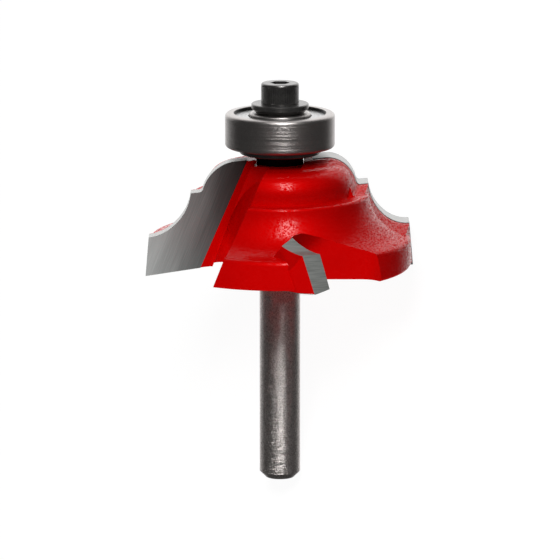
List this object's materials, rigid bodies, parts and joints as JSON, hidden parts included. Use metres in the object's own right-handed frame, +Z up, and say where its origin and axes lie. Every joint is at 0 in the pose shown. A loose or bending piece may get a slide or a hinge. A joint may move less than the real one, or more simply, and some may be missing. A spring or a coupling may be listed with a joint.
{
  "type": "router bit",
  "caption": "Cove and bead router bit with brazed cutters, a ball bearing guide held by a cap screw, and a plain round shank.",
  "frame": {"origin": "centre of the bounding box in X and Y, at the floor on which the bit lies", "axes": "+Y points along the floor from the shank end towards the guide bearing, +Z up; the bit's own axis rises in the YZ plane"},
  "size_m": [0.0382, 0.0548, 0.0358],
  "materials": {
    "body": "glossy coating on the head, bare shank",
    "carbide": "ground",
    "black_oxide": "black oxide",
    "bearing_steel": "ground and polished",
    "cage": "pressed sheet",
    "balls": "polished",
    "shield": "pressed sheet"
  },
  "bodies": {
    "tool": {"cutter_body": "body", "large_cutter_1": "carbide", "large_cutter_2": "carbide", "small_cutter_1": "carbide", "small_cutter_2": "carbide", "lower_washer": "black_oxide", "inner_ring": "bearing_steel", "upper_washer": "black_oxide", "cap_screw": "black_oxide"},
    "outer_race": {"outer_ring": "bearing_steel", "lower_shield": "shield", "upper_shield": "shield", "lower_snap_ring": "shield", "upper_snap_ring": "shield"},
    "cage": {"ball_cage": "cage", "ball_1": "balls", "ball_2": "balls", "ball_3": "balls", "ball_4": "balls", "ball_5": "balls", "ball_6": "balls", "ball_7": "balls"}
  },
  "joints": [
    {"name": "bearing_spin", "type": "hinge", "parent": "tool", "child": "outer_race", "pos_m": [0, 0.02012, 0.02536], "axis": [0, 0.8962, 0.4436], "continuous": true},
    {"name": "cage_spin", "type": "hinge", "parent": "tool", "child": "cage", "pos_m": [0, 0.02012, 0.02536], "axis": [0, 0.8962, 0.4436], "continuous": true}
  ],
  "couplings": [
    {"joint": "cage_spin", "follows": "bearing_spin", "ratio": 0.6236}
  ]
}
